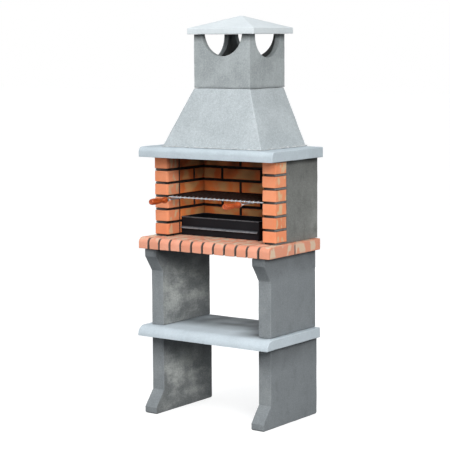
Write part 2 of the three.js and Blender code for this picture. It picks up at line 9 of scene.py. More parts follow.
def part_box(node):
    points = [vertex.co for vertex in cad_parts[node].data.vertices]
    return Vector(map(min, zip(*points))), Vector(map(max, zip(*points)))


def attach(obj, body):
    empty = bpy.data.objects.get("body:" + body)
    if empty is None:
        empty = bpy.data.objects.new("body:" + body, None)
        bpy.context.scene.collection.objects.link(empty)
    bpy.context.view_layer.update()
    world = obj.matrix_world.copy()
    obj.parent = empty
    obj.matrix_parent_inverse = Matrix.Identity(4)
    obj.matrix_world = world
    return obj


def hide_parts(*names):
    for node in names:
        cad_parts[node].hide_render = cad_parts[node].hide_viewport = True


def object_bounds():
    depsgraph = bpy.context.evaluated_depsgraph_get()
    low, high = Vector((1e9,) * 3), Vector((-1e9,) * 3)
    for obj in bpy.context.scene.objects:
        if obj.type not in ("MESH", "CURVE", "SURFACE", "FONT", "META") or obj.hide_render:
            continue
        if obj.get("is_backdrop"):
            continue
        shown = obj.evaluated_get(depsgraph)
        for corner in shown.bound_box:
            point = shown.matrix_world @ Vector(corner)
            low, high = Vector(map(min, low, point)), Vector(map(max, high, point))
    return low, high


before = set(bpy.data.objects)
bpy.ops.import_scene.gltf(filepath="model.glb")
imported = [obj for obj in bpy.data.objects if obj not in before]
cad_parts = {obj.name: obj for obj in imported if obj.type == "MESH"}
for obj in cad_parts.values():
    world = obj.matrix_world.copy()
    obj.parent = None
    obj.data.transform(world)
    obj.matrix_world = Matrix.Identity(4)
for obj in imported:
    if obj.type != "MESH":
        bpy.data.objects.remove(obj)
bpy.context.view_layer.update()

MM = 0.001
COLUMNS = 12  # hearth bricks, side by side
COURSES = 6  # of the pillars and of the lining
LEFT, RIGHT, FRONT, BACK, DOWN, UP = (-1, 0, 0), (1, 0, 0), (0, -1, 0), (0, 1, 0), (0, 0, -1), (0, 0, 1)


# ---------------------------------------------------------------- materials

class Graph:
    """A node tree, with one short call for each kind of node used here."""

    def __init__(self, tree):
        self.tree = tree

    def put(self, socket, value):
        """Links a node's output to the socket, or sets the socket to a constant."""
        if isinstance(value, bpy.types.NodeSocket):
            self.tree.links.new(value, socket)
        elif isinstance(value, tuple) and len(value) == 3 and len(socket.default_value) == 4:
            socket.default_value = (*value, 1)
        else:
            socket.default_value = value

    def add(self, kind, settings=None, **values):
        node = self.tree.nodes.new(kind)
        for key, value in (settings or {}).items():
            setattr(node, key, value)
        for key, value in values.items():
            self.put(node.inputs[key], value)
        return node

    def math(self, operation, a, b=0.0):
        node = self.add("ShaderNodeMath", {"operation": operation})
        self.put(node.inputs[0], a)
        self.put(node.inputs[1], b)
        return node.outputs[0]

    def product(self, first, *others):
        for other in others:
            first = self.math("MULTIPLY", first, other)
        return first

    def ramp(self, value, low, high, to_low=0.0, to_high=1.0):
        """A smooth step from to_low at low to to_high at high."""
        node = self.add("ShaderNodeMapRange", {"interpolation_type": "SMOOTHSTEP"})
        for key, number in (("Value", value), ("From Min", low), ("From Max", high),
                            ("To Min", to_low), ("To Max", to_high)):
            self.put(node.inputs[key], number)
        return node.outputs[0]

    def part(self, vector, axis):
        node = self.add("ShaderNodeSeparateXYZ")
        self.put(node.inputs[0], vector)
        return node.outputs[axis]

    def shown(self):
        """1 where the camera sees the backdrop, also in a mirror or through something clear, and else 0."""
        rays = self.add("ShaderNodeLightPath").outputs
        mirrored = self.math("MAXIMUM", rays["Is Camera Ray"], rays["Is Glossy Ray"])
        return self.math("MAXIMUM", mirrored, rays["Is Transmission Ray"])


class Shade(Graph):
    """A material's node tree."""

    def __init__(self, name, roughness=0.8, metallic=0.0, specular=0.5, coat=0.0, coat_roughness=0.1):
        self.material = bpy.data.materials.new(name)
        self.material.use_nodes = True
        super().__init__(self.material.node_tree)
        self.shader = self.tree.nodes["Principled BSDF"]
        self.set("Roughness", roughness)
        self.set("Metallic", metallic)
        self.set("Specular IOR Level", specular)
        self.set("Coat Weight", coat)
        self.set("Coat Roughness", coat_roughness)
        self.at = self.add("ShaderNodeTexCoord").outputs["Object"]

    def set(self, name, value):
        self.put(self.shader.inputs[name], value)

    def stretched(self, scale, shift=(0.0, 0.0, 0.0)):
        """The object's coordinates, scaled by axis, and moved by a vector if one is given."""
        node = self.add("ShaderNodeVectorMath", {"operation": "MULTIPLY_ADD"})
        for place, value in enumerate((self.at, scale, shift)):
            self.put(node.inputs[place], value)
        return node.outputs[0]

    def noise(self, scale, detail=3.0, roughness=0.55, at=None):
        node = self.add("ShaderNodeTexNoise", Scale=scale, Detail=detail, Roughness=roughness)
        self.put(node.inputs["Vector"], self.at if at is None else at)
        return node.outputs["Fac"]

    def cells(self, scale, at=None):
        node = self.add("ShaderNodeTexVoronoi", Scale=scale)
        self.put(node.inputs["Vector"], self.at if at is None else at)
        return node.outputs["Distance"]

    def mix(self, share, a, b):
        """Colour b over colour a, covering the given share of it."""
        node = self.add("ShaderNodeMix", {"data_type": "RGBA"})
        for place, value in ((0, share), (6, a), (7, b)):
            self.put(node.inputs[place], value)
        return node.outputs[2]

    def mark(self, name, output="Fac"):
        """What the mesh work marked on the vertices under this name."""
        return self.add("ShaderNodeAttribute", {"attribute_name": name}).outputs[output]

    def bump(self, height, strength, distance):
        node = self.add("ShaderNodeBump", Strength=strength, Distance=distance)
        self.put(node.inputs["Height"], height)
        self.set("Normal", node.outputs[0])


def toned(colour, *factors):
    """A colour times one factor, or times one for each channel."""
    return tuple(c * k for c, k in zip(colour, factors if len(factors) == 3 else factors * 3))


def concrete(name, light, dark, blotch=0.5, speck=0.25, streak=0.0, grain=0.35, roughness=0.85,
             smudge=1.4, limed=False):
    """Cast concrete: clouds between two tones, lime blooms where they are marked, with painted shade where
    they fade, smudges, streaks down the sides, pale specks and pits, and painted shade where it is marked."""
    shade = Shade(name, roughness=roughness, specular=0.25)
    clouds = shade.ramp(shade.noise(7.0, 5.0, 0.6), 0.36, 0.64)
    small = shade.ramp(shade.noise(64.0, 4.0, 0.7), 0.3, 0.7)
    tone = shade.math("ADD", shade.product(clouds, 0.62), shade.product(small, 0.38))
    middle = tuple((a + b) / 2 for a, b in zip(light, dark))
    colour = shade.mix(blotch, middle, shade.mix(tone, dark, light))
    if limed:
        cloud = shade.noise(13.0, 5.0, 0.62, shade.stretched((1, 0.5, 0.85), (0.0, 0.0, 0.31)))
        fine = shade.noise(150.0, 3.0, 0.8, shade.stretched((1, 0.6, 1)))
        cloud, fine = shade.ramp(cloud, 0.36, 0.66, 0.25, 1.0), shade.ramp(fine, 0.34, 0.66, 0.66, 1.1)
        bloom_and_shade = shade.product(cloud, fine, shade.mark("bloom_and_shade"))
        # Where the lime blooms fade, the darker ground they cover is painted shade.
        colour = shade.mix(shade.mark("inside"), colour, shade.mix(bloom_and_shade, toned(dark, 0.42), LIME))
    coarse = shade.ramp(shade.noise(130.0, 4.0, 0.8), 0.36, 0.64)
    colour = shade.mix(speck, colour, shade.mix(coarse, toned(middle, 0.62), toned(middle, 1.3)))
    smudges = shade.noise(20.0, 4.0, 0.65, shade.stretched((1, 1, 0.7), (5.3, 1.1, 2.7)))
    colour = shade.mix(shade.ramp(smudges, 0.5, 0.72, 0.0, smudge * speck), colour, toned(dark, 0.72))
    if streak:
        lines = shade.noise(9.0, 6.0, 0.7, shade.stretched((9.0, 9.0, 0.45)))
        colour = shade.mix(shade.ramp(lines, 0.42, 0.7, 0.0, streak), colour, toned(light, 0.45))
    pale = shade.ramp(shade.noise(230.0, 2.0, 0.6), 0.56, 0.7, 0.0, speck)
    colour = shade.mix(pale, colour, tuple(min(1.0, c * 1.45 + 0.06) for c in light))
    pits = shade.noise(260.0, 2.0, 0.7, shade.stretched((1, 1, 1), (3.1, 5.7, 1.3)))
    colour = shade.mix(shade.ramp(pits, 0.6, 0.74, 0.0, speck), colour, toned(light, 0.42))
    # Painted shade, darker where a piece is marked for it: under slabs, between the legs and in the chimney.
    colour = shade.mix(shade.mark("painted_shade"), colour, toned(middle, 0.14))
    shade.set("Base Color", colour)
    height = shade.math("ADD", shade.product(shade.noise(420.0, 3.0, 0.7), 0.6), shade.noise(60.0, 4.0, 0.6))
    shade.bump(height, grain, 0.0012)
    return shade.material


def fired_brick(name, body, ends, patch, dust, joint, share, bars, sharp, reach):
    """Facing brick: each one its own tint, redder clouds, pale patches, dust, pores, painted shade on its
    faces in the joints, and painted shade where it is marked. share is how far a patch covers the body, bars
    how often patches repeat along each axis, sharp where their noise starts, where it is full and what shows
    between them, and reach how far along the brick they go, as a share of its half length."""
    shade = Shade(name, roughness=0.82, specular=0.3)
    own = shade.mark("brick_id")
    place = shade.mark("brick_at", "Vector")
    shift = shade.add("ShaderNodeCombineXYZ")
    for axis in range(3):
        shade.put(shift.inputs[axis], shade.product(own, 17.0 + 9.0 * axis))
    moved = shade.stretched((1, 1, 1), shift.outputs[0])
    tint = shade.mix(shade.ramp(own, 0.1, 0.9), body, toned(body, 0.86, 0.8, 0.76))
    wide = shade.noise(16.0, 3.0, 0.5, moved)
    colour = shade.mix(shade.ramp(wide, 0.35, 0.7, 0.0, 0.5), tint, ends)
    aside = shade.ramp(own, 0.0, 1.0, -0.25, 0.25)
    along = shade.math("ABSOLUTE", shade.math("ADD", shade.part(place, 0), aside))
    across = shade.math("ABSOLUTE", shade.part(place, 2))
    wander = shade.ramp(shade.noise(13.0, 2.0, 0.4, moved), 0.3, 0.7, -0.35, 0.35)
    middle = shade.ramp(shade.math("ADD", along, wander), reach - 0.25, reach + 0.25, 1.0, 0.0)
    spots = shade.noise(26.0, 1.5, 0.35, shade.stretched(bars, shift.outputs[0]))
    cover = shade.product(
        middle, shade.ramp(across, 0.6, 1.0, 1.0, 0.25), shade.ramp(spots, *sharp, 1.0),
        shade.mark("brick_side"), share,
    )
    colour = shade.mix(cover, colour, patch)
    colour = shade.mix(shade.ramp(shade.noise(90.0, 4.0, 0.7, moved), 0.56, 0.8, 0.0, 0.3), colour, dust)
    # Painted shade on the faces that lie in the joints.
    colour = shade.mix(shade.mark("joint_shade"), colour, joint)
    pores = shade.ramp(shade.cells(420.0, moved), 0.08, 0.24, 0.45, 0.0)
    colour = shade.mix(pores, colour, toned(ends, 0.45))
    # Painted shade under the mantel and in the corners of the firebox.
    colour = shade.mix(shade.mark("soot"), colour, PAINTED_SHADE_TONE)
    shade.set("Base Color", colour)
    height = shade.math("ADD", shade.product(shade.noise(300.0, 4.0, 0.7, moved), 0.7), wide)
    shade.bump(height, 0.4, 0.001)
    return shade.material


def joint_mortar(name, dark, pale, unshaded=(0.2, 0.205, 0.2)):
    """Mortar of the joints: dark, partly its own colour and partly painted shade deep in the joints, and its
    own paler colour where it is marked, in the open.
    """
    shade = Shade(name, roughness=0.95, specular=0.15)
    colour = shade.mix(shade.ramp(shade.noise(45.0, 5.0, 0.7), 0.35, 0.7), dark, pale)
    unshaded_colour = shade.mix(shade.ramp(shade.noise(70.0, 5.0, 0.7), 0.3, 0.7), toned(unshaded, 0.75), unshaded)
    colour = shade.mix(shade.mark("unshaded"), colour, unshaded_colour)
    shade.set("Base Color", colour)
    shade.bump(shade.noise(220.0, 5.0, 0.75), 0.7, 0.002)
    return shade.material


def wire_metal():
    """Plated wire, bright in front, and over the fire dark brown and dull, which is painted shade."""
    shade = Shade("plated_wire", roughness=0.4, metallic=0.95, specular=0.15)
    over_fire = shade.ramp(shade.part(shade.at, 1), FIRE_FRONT, FIRE_FRONT + 5 * MM)
    # Painted shade over the fire, a little patchy.
    in_shade = shade.product(over_fire, shade.ramp(shade.noise(60.0, 4.0, 0.6), 0.2, 0.6, 0.95, 1.0))
    shade.set("Base Color", shade.mix(in_shade, (0.52, 0.55, 0.58), (0.028, 0.013, 0.009)))
    shade.set("Roughness", shade.ramp(in_shade, 0.0, 1.0, 0.4, 0.7))
    shade.set("Metallic", shade.ramp(in_shade, 0.0, 1.0, 0.95, 0.05))
    shade.bump(shade.noise(500.0, 2.0, 0.6), 0.15, 0.0004)
    return shade.material


def brushed_metal():
    shade = Shade("ferrule_metal", roughness=0.34, metallic=0.9)
    rings = shade.noise(90.0, 3.0, 0.6, shade.stretched((0.4, 16.0, 0.4)))
    shade.set("Base Color", shade.mix(rings, (0.62, 0.6, 0.56), (0.83, 0.82, 0.79)))
    shade.bump(rings, 0.2, 0.0003)
    return shade.material


def varnished_wood():
    """Turned hardwood, its grain along the handle, under a warm varnish."""
    shade = Shade("varnished_wood", roughness=0.45, specular=0.3, coat=0.18, coat_roughness=0.2)
    grain = shade.noise(60.0, 5.0, 0.6, shade.stretched((3.2, 0.22, 3.2)))
    fine = shade.noise(240.0, 3.0, 0.6, shade.stretched((3.0, 0.3, 3.0)))
    colour = shade.mix(shade.ramp(grain, 0.36, 0.66), (0.29, 0.043, 0.0088), (0.6, 0.112, 0.022))
    colour = shade.mix(shade.ramp(fine, 0.5, 0.75, 0.0, 0.5), colour, (0.22, 0.04, 0.012))
    colour = shade.mix(shade.mark("turned_line"), colour, (0.13, 0.04, 0.02))
    shade.set("Base Color", colour)
    shade.bump(fine, 0.12, 0.0004)
    return shade.material


def black_sheet():
    """Sheet steel under satin black paint, with a grey painted highlight along its folds."""
    shade = Shade("black_sheet", roughness=0.5, specular=0.12)
    cloud = shade.noise(14.0, 4.0, 0.6)
    colour = shade.mix(cloud, (0.006, 0.006, 0.008), (0.013, 0.013, 0.016))
    # Painted highlight along the folds, patchy.
    highlight = shade.product(shade.mark("fold"), shade.ramp(shade.noise(70.0, 4.0, 0.7), 0.2, 0.65, 0.35, 1.0))
    colour = shade.mix(highlight, colour, (0.27, 0.28, 0.3))
    shade.set("Base Color", colour)
    shade.set("Roughness", shade.ramp(cloud, 0.3, 0.7, 0.46, 0.6))
    shade.bump(shade.noise(380.0, 3.0, 0.6), 0.12, 0.0005)
    return shade.material


def cast_iron():
    shade = Shade("cast_iron", roughness=0.75, metallic=0.3)
    ash = shade.ramp(shade.noise(50.0, 5.0, 0.7), 0.45, 0.75)
    shade.set("Base Color", shade.mix(ash, (0.035, 0.034, 0.036), (0.16, 0.15, 0.14)))
    shade.bump(shade.noise(260.0, 4.0, 0.7), 0.5, 0.001)
    return shade.material


FIRE_FRONT = -74.5 * MM
# The tone of the painted shade on the bricks.
PAINTED_SHADE_TONE = (0.028, 0.011, 0.005)
LIME = (0.66, 0.675, 0.64)
# Painted shade for the faces of the bricks that lie in the joints.
JOINT, HEARTH_JOINT = (0.05, 0.046, 0.042), (0.15, 0.125, 0.11)
SMOOTH = {"blotch": 0.6, "grain": 0.2, "roughness": 0.7}
LEG = concrete("leg_concrete", (0.265, 0.287, 0.3), (0.19, 0.206, 0.216),
               blotch=0.4, speck=0.24, streak=0.06, limed=True)
MANTEL = concrete("mantel_concrete", (0.525, 0.592, 0.632), (0.43, 0.488, 0.527), speck=0.1, **SMOOTH)
SHELF = concrete("shelf_concrete", (0.585, 0.655, 0.7), (0.485, 0.545, 0.587), speck=0.1, **SMOOTH)
CAP = concrete("cap_concrete", (0.7, 0.745, 0.76), (0.6, 0.645, 0.665), speck=0.08, **SMOOTH)
HOOD = concrete("hood_concrete", (0.515, 0.558, 0.574), (0.36, 0.393, 0.407),
                blotch=0.8, speck=0.3, streak=0.03, grain=0.45, smudge=0.25)
CHIMNEY = concrete("chimney_concrete", (0.425, 0.457, 0.462), (0.265, 0.288, 0.293),
                   blotch=0.95, speck=0.26, streak=0.06, grain=0.4, smudge=0.4)
CASING = concrete("casing_concrete", (0.225, 0.23, 0.218), (0.15, 0.155, 0.144),
                  blotch=0.7, speck=0.3, streak=0.14, grain=0.5, limed=True)
BRICK = fired_brick(
    "facing_brick", body=(0.86, 0.32, 0.165), ends=(0.82, 0.25, 0.1), patch=(0.7, 0.49, 0.29),
    dust=(0.74, 0.46, 0.3), joint=JOINT,
    share=0.9, bars=(1.5, 1.5, 0.75), sharp=(0.51, 0.58, 0.0), reach=0.9,
)
NOSE_BRICK = fired_brick(
    "hearth_brick", body=(0.84, 0.39, 0.265), ends=(0.8, 0.3, 0.18), patch=(0.71, 0.54, 0.39),
    dust=(0.78, 0.52, 0.39), joint=HEARTH_JOINT,
    share=0.95, bars=(1.0, 1.0, 0.6), sharp=(0.475, 0.54, 0.0), reach=0.9,
)
LINING_BRICK = fired_brick(
    "lining_brick", body=(0.98, 0.29, 0.08), ends=(0.96, 0.17, 0.04), patch=(0.82, 0.43, 0.17),
    dust=(0.58, 0.34, 0.17), joint=JOINT,
    share=0.95, bars=(0.6, 0.6, 0.6), sharp=(0.25, 0.5, 0.35), reach=0.48,
)
# Dark mortars: partly their own colour, partly painted shade deep in the joints.
DARK_MORTAR = joint_mortar("dark_mortar", (0.012, 0.011, 0.01), (0.035, 0.031, 0.028))
HEARTH_MORTAR = joint_mortar("hearth_mortar_mix", (0.09, 0.085, 0.08), (0.2, 0.19, 0.18), (0.6, 0.45, 0.34))
BED_MORTAR = joint_mortar("bed_mortar", (0.4, 0.42, 0.42), (0.6, 0.62, 0.63))
WIRE = wire_metal()
FERRULE = brushed_metal()
WOOD = varnished_wood()
SHEET = black_sheet()
IRON = cast_iron()


# ---------------------------------------------------------------- mesh work

def of_node(node):
    """A mesh of the node's own form, its flat faces made whole again."""
    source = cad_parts[node].data
    mesh = bmesh.new()
    for vertex in source.vertices:
        mesh.verts.new(vertex.co)
    mesh.verts.ensure_lookup_table()
    for face in source.polygons:
        mesh.faces.new([mesh.verts[i] for i in face.vertices])
    bmesh.ops.remove_doubles(mesh, verts=mesh.verts[:], dist=0.02 * MM)
    bmesh.ops.dissolve_limit(mesh, angle_limit=math.radians(0.6), verts=mesh.verts[:], edges=mesh.edges[:])
    bmesh.ops.recalc_face_normals(mesh, faces=mesh.faces[:])
    return mesh


def clamped(value, most=1.0):
    return max(0.0, min(most, value))


def block(low, high):
    mesh = bmesh.new()
    bmesh.ops.create_cube(mesh, size=1)
    low, high = Vector(low), Vector(high)
    for vertex in mesh.verts:
        vertex.co = Vector((low[i] + (vertex.co[i] + 0.5) * (high[i] - low[i]) for i in range(3)))
    return mesh


def soften(mesh, width, segments=2, sharp=28):
    """Rounds the edges that turn by more than the given angle."""
    edges = [e for e in mesh.edges if len(e.link_faces) == 2 and e.calc_face_angle(0) > math.radians(sharp)]
    bmesh.ops.bevel(
        mesh, geom=edges, offset=width, segments=segments, profile=0.5, affect="EDGES", clamp_overlap=True,
    )


def extent(mesh):
    return [Vector((end(v.co[i] for v in mesh.verts) for i in range(3))) for end in (min, max)]


def cut(mesh, at, normal):
    """Cuts the faces along a plane, with nothing taken away."""
    geometry = mesh.verts[:] + mesh.edges[:] + mesh.faces[:]
    bmesh.ops.bisect_plane(mesh, geom=geometry, dist=1e-6, plane_co=at, plane_no=normal)


def slice_up(mesh, cell):
    """Cuts every face along a grid of planes, so that it can be roughened."""
    low, high = extent(mesh)
    for axis, normal in enumerate((RIGHT, BACK, UP)):
        count = max(1, round((high[axis] - low[axis]) / cell))
        for step in range(1, count):
            at = Vector(low)
            at[axis] += (high[axis] - low[axis]) * step / count
            cut(mesh, at, normal)


def join_rows(mesh, rows):
    """Faces between each row of vertices, taken as a ring, and the next one. A row of one vertex is a tip."""
    for row, after in zip(rows, rows[1:]):
        for k in range(max(len(row), len(after))):
            corners = (row[k % len(row)], row[(k + 1) % len(row)],
                       after[(k + 1) % len(after)], after[k % len(after)])
            mesh.faces.new(list(dict.fromkeys(corners)))
    bmesh.ops.recalc_face_normals(mesh, faces=mesh.faces[:])


def marked(mesh, name, rule):
    """Marks the vertices under a name, with what the rule gives for each."""
    layer = mesh.verts.layers.float.new(name)
    for vertex in mesh.verts:
        vertex[layer] = rule(vertex)


def weather(mesh, swell, wear, scale=30.0, seed=0.0):
    """Makes faces slightly uneven, and wears and chips the edges inwards."""
    mesh.normal_update()
    shift = Vector((seed * 1.7, seed * 2.3 + 4.0, seed * 0.9 - 3.0))
    moves = []
    for vertex in mesh.verts:
        at = vertex.co * scale + shift
        depth = (noise.noise(at) - 0.35) * swell
        sharpness = 1 - min(face.normal.dot(vertex.normal) for face in vertex.link_faces)
        chip = max(0.0, noise.noise(vertex.co * scale * 2.6 - shift)) ** 1.5
        depth -= min(1.0, sharpness * 5) * wear * (0.25 + 2.2 * chip)
        moves.append(vertex.normal * depth)
    for vertex, move in zip(mesh.verts, moves):
        vertex.co += move


def finish_piece(name, mesh, material, replaces=None, body="masonry", angle=40):
    """Turns the mesh into a piece of the scene that rides on a body and takes the place of a node, if one is
    given. Edges that turn by more than the angle stay sharp."""
    data = bpy.data.meshes.new(name)
    mesh.normal_update()
    mesh.to_mesh(data)
    mesh.free()
    data.materials.append(material)
    for polygon in data.polygons:
        polygon.use_smooth = True
    data.set_sharp_from_angle(angle=math.radians(angle))
    piece = bpy.data.objects.new(name, data)
    bpy.context.scene.collection.objects.link(piece)
    piece.modifiers.new("even_normals", "WEIGHTED_NORMAL").keep_sharp = True
    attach(piece, body)
    if replaces:
        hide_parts(replaces)


def merge(meshes):
    """One mesh of several, with their marks."""
    whole = bmesh.new()
    for mesh in meshes:
        data = bpy.data.meshes.new("part")
        mesh.to_mesh(data)
        mesh.free()
        whole.from_mesh(data)
        bpy.data.meshes.remove(data)
    return whole


# ---------------------------------------------------------------- bricks

def mark_brick(mesh, own, long_axis, bedded):
    """Gives a brick its own number, the place of each point along and across it, which faces are its long
    sides, and which lie in the joints, where they get painted shade: bedded holds their directions."""
    low, high = extent(mesh)
    mesh.normal_update()
    marked(mesh, "brick_id", lambda vertex: own)
    marked(mesh, "brick_side", lambda vertex: 1 - abs(vertex.normal[long_axis]) ** 2)
    ways = [Vector(way) for way in bedded]

    def in_joint(vertex):
        return clamped(1.6 * max(vertex.normal.dot(way) for way in ways) - 0.6)
    marked(mesh, "joint_shade", in_joint)
    place = mesh.verts.layers.float_vector.new("brick_at")
    for vertex in mesh.verts:
        at = [2 * (vertex.co[i] - low[i]) / (high[i] - low[i]) - 1 for i in range(3)]
        at[0], at[long_axis] = at[long_axis], at[0]
        level = vertex.normal.z ** 2
        at[2] = (1 - level) * abs(at[2]) + level * abs(at[1])
        vertex[place] = at


def roughened_brick(mesh, own, long_axis, bedded, seed, radius=2.6 * MM, cell=12 * MM):
    """Softens, roughens and marks a brick."""
    soften(mesh, radius)
    slice_up(mesh, cell)
    weather(mesh, 0.9 * MM, 0.9 * MM, 34.0, seed)
    mark_brick(mesh, own, long_axis, bedded)
    return mesh


def nudge(mesh, chance, slide, turn):
    """Sets a brick a little off its line, as bricks laid by hand are."""
    low, high = extent(mesh)
    middle = (low + high) / 2
    move = Vector((chance.uniform(-slide[i], slide[i]) for i in range(3)))
    spin = Matrix.Rotation(math.radians(chance.uniform(-turn, turn)), 3, "Z")
    for vertex in mesh.verts:
        vertex.co = middle + spin @ (vertex.co - middle) + move


def shade_lining(mesh, top, reach=185 * MM, corner=55 * MM):
    """Painted shade on the lining, strongest under the mantel, and some in the corners of the firebox."""
    def rule(vertex):
        patchy = 0.85 + 0.4 * noise.noise(vertex.co * 18)
        aside = max(min(abs(vertex.co.x - face) for face in SIDE_FACES), abs(vertex.co.y - BACK_FACE))
        high_up = max(0.0, 1 - (top - vertex.co.z) / reach) ** 0.75
        return min(0.92, patchy * max(high_up, 0.42 * (1 - aside / corner)))
    marked(mesh, "soot", rule)


def shade_pillar(mesh, inward, top, reach=115 * MM):
    """Painted shade on the inner side of a pillar brick, under the mantel."""
    mesh.normal_update()
    low, high = extent(mesh)

    def rule(vertex):
        deep = 0.55 + 0.4 * (vertex.co.y - low.y) / (high.y - low.y)
        return (vertex.normal.x * inward > 0.5) * deep * max(0.0, 1 - (top - vertex.co.z) / reach)
    marked(mesh, "soot", rule)


def ease_joints(mesh):
    """Over the level part of the hearth the joints are filled nearly flush, so the bricks' faces in them get
    little painted shade.
    """
    high = extent(mesh)[1]
    layer = mesh.verts.layers.float["joint_shade"]
    for vertex in mesh.verts:
        if vertex.co.z > high.z - 9 * MM and vertex.co.y > LEVEL_FROM:
            vertex[layer] *= 0.2


LEVEL_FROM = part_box("hearth_nose_brick_01")[0].y + 24 * MM
SIDE_FACES = (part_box("left_lining")[1].x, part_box("right_lining")[0].x)
BACK_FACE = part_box("back_lining")[0].y
FIREBOX_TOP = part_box("back_lining")[1].z
chance = random.Random(41)
for column in range(1, COLUMNS + 1):
    for kind in ("hearth_nose_brick", "hearth_brick"):
        node = f"{kind}_{column:02d}"
        beside = [LEFT] * (column > 1) + [RIGHT] * (column < COLUMNS)
        bedded = [DOWN, *beside, BACK if "nose" in kind else FRONT]
        mesh = roughened_brick(of_node(node), chance.random(), 1, bedded, column * 3.1 + len(kind))
        ease_joints(mesh)
        nudge(mesh, chance, (0.5 * MM, 0.6 * MM, 0.25 * MM), 0.12)
        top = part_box(node)[1].z
        for vertex in mesh.verts:
            vertex.co.z = min(vertex.co.z, top)  # the charcoal box slides over them
        finish_piece(f"{node}_fired", mesh, NOSE_BRICK, node)
for side, inward in (("left", 1), ("right", -1)):
    for course in range(1, COURSES + 1):
        node = f"{side}_pillar_brick_{course}"
        mesh = roughened_brick(of_node(node), chance.random(), 1, [UP, DOWN, BACK], course * 5.3 + len(side))
        shade_pillar(mesh, inward, FIREBOX_TOP)
        nudge(mesh, chance, (0.9 * MM, 0.8 * MM, 0.3 * MM), 0.4)
        finish_piece(f"{node}_fired", mesh, BRICK, node)


# ---------------------------------------------------------------- firebox lining

BRICK_HEIGHT, BRICK_LENGTH, BED, HEAD, FIRST_BED = 55 * MM, 224 * MM, 10 * MM, 13 * MM, 9 * MM
SLACK = 0.9 * MM  # a brick is this much lower than its course, above and below
CORNER = 5 * MM  # the joint between the back's bricks and the sides
GAP = 0.3 * MM  # between mortar and the bricks it would touch


def course_bricks(start, end, starts_half):
    """Ends of the bricks along a course, the first one whole or half."""
    length = BRICK_LENGTH / 2 if starts_half else BRICK_LENGTH
    while start < end:
        yield start, min(start + length, end)
        start += length + HEAD
        length = BRICK_LENGTH


def brick_courses(base, start, end, step):
    """The ends, the height and the seed of each brick of a wall, from its lowest course up."""
    for course in range(COURSES):
        bottom = base + FIRST_BED + course * (BRICK_HEIGHT + BED)
        for first, last in course_bricks(start, end, course % 2 == 0):
            yield first, last, bottom + SLACK, bottom + BRICK_HEIGHT - SLACK, course * step + first * 30


def lining_brick(mesh, long_axis, bedded, seed):
    mesh = roughened_brick(mesh, chance.random(), long_axis, [UP, DOWN, *bedded], seed, 2.2 * MM, 14 * MM)
    shade_lining(mesh, FIREBOX_TOP)
    return mesh


def lining(side, sign):
    """The bricks and the mortar of one side wall, with the comb of mortar between the pillar's bricks."""
    low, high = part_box(f"{side}_lining")
    pillar_low, pillar_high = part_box(f"{side}_pillar_brick_1")
    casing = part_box(f"{side}_casing")
    if sign > 0:
        face, outer, wall = pillar_low.x, high.x, casing[0].x
    else:
        face, outer, wall = pillar_high.x, low.x, casing[1].x
    front = pillar_high.y + 8 * MM
    raked = face + sign * 10 * MM

    def slab(x0, x1, y0, y1, z0=low.z, z1=high.z):
        return block((min(x0, x1), y0, z0), (max(x0, x1), y1, z1))

    bricks = [
        lining_brick(slab(face, wall - sign * MM, *box), 1, [FRONT, BACK], seed + sign)
        for *box, seed in brick_courses(low.z, front, high.y, 2.7)
    ]
    finish_piece(f"{side}_lining_bricks", merge(bricks), LINING_BRICK, f"{side}_lining")

    mortar = [slab(face + sign * 12 * MM, wall - sign * 0.5 * MM, pillar_high.y + 0.5 * MM, high.y)]
    for bed in range(COURSES + 1):
        brick_bottom = low.z + FIRST_BED + bed * (BRICK_HEIGHT + BED)
        bottom = low.z if bed == 0 else brick_bottom - BED + GAP
        top = high.z if bed == COURSES else brick_bottom - GAP
        mortar.append(slab(raked, outer, pillar_low.y + 10 * MM, pillar_high.y + 4 * MM, bottom, top))
    mortar.append(slab(raked, outer, pillar_high.y + GAP, front - GAP))
    for part in mortar:
        slice_up(part, 12 * MM)
        weather(part, 1.6 * MM, 1.0 * MM, 60.0, 7.0)
        layer = part.verts.layers.float.new("unshaded")
        for vertex in part.verts:
            outward = abs(vertex.co.x - face) / abs(outer - face)
            near_front = vertex.co.y < pillar_high.y and outward > 0.2
            # Painted shade deeper in the joints: the mortar shows its paler colour at the outer face, and
            # between the pillar's bricks more of it towards the outside.
            vertex[layer] = 1.0 if abs(vertex.co.x - outer) < 3 * MM else (0.1 + 0.4 * outward) * near_front
            if vertex.co.y < pillar_low.y + 14 * MM:
                vertex.co.y -= 6 * MM * outward  # raked less deep towards the outside
    finish_piece(f"{side}_lining_mortar", merge(mortar), DARK_MORTAR, f"{side}_lining")


lining("left", -1)
lining("right", 1)

low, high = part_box("back_lining")
bricks = []
for left, right, bottom, top, seed in brick_courses(low.z, low.x, high.x, 4.1):
    left, right = max(left, low.x + CORNER), min(right, high.x - CORNER)
    mesh = block((left, low.y, bottom), (right, high.y - MM, top))
    bricks.append(lining_brick(mesh, 0, [LEFT, RIGHT], seed))
finish_piece("back_lining_bricks", merge(bricks), LINING_BRICK, "back_lining")
mesh = block((low.x, low.y + 12 * MM, low.z), high)
slice_up(mesh, 14 * MM)
weather(mesh, 1.6 * MM, 0.5 * MM, 60.0, 3.0)
finish_piece("back_lining_mortar", mesh, DARK_MORTAR, "back_lining")

mesh = of_node("hearth_mortar")
slice_up(mesh, 14 * MM)
weather(mesh, 1.6 * MM, 1.0 * MM, 60.0, 5.0)
# Painted shade in the joints of the nose: only the level top shows the mortar's paler colour.
marked(mesh, "unshaded", lambda vertex: float(vertex.normal.z > 0.5 and vertex.co.y > LEVEL_FROM))
finish_piece("hearth_mortar_joints", mesh, HEARTH_MORTAR, "hearth_mortar")


# ---------------------------------------------------------------- concrete

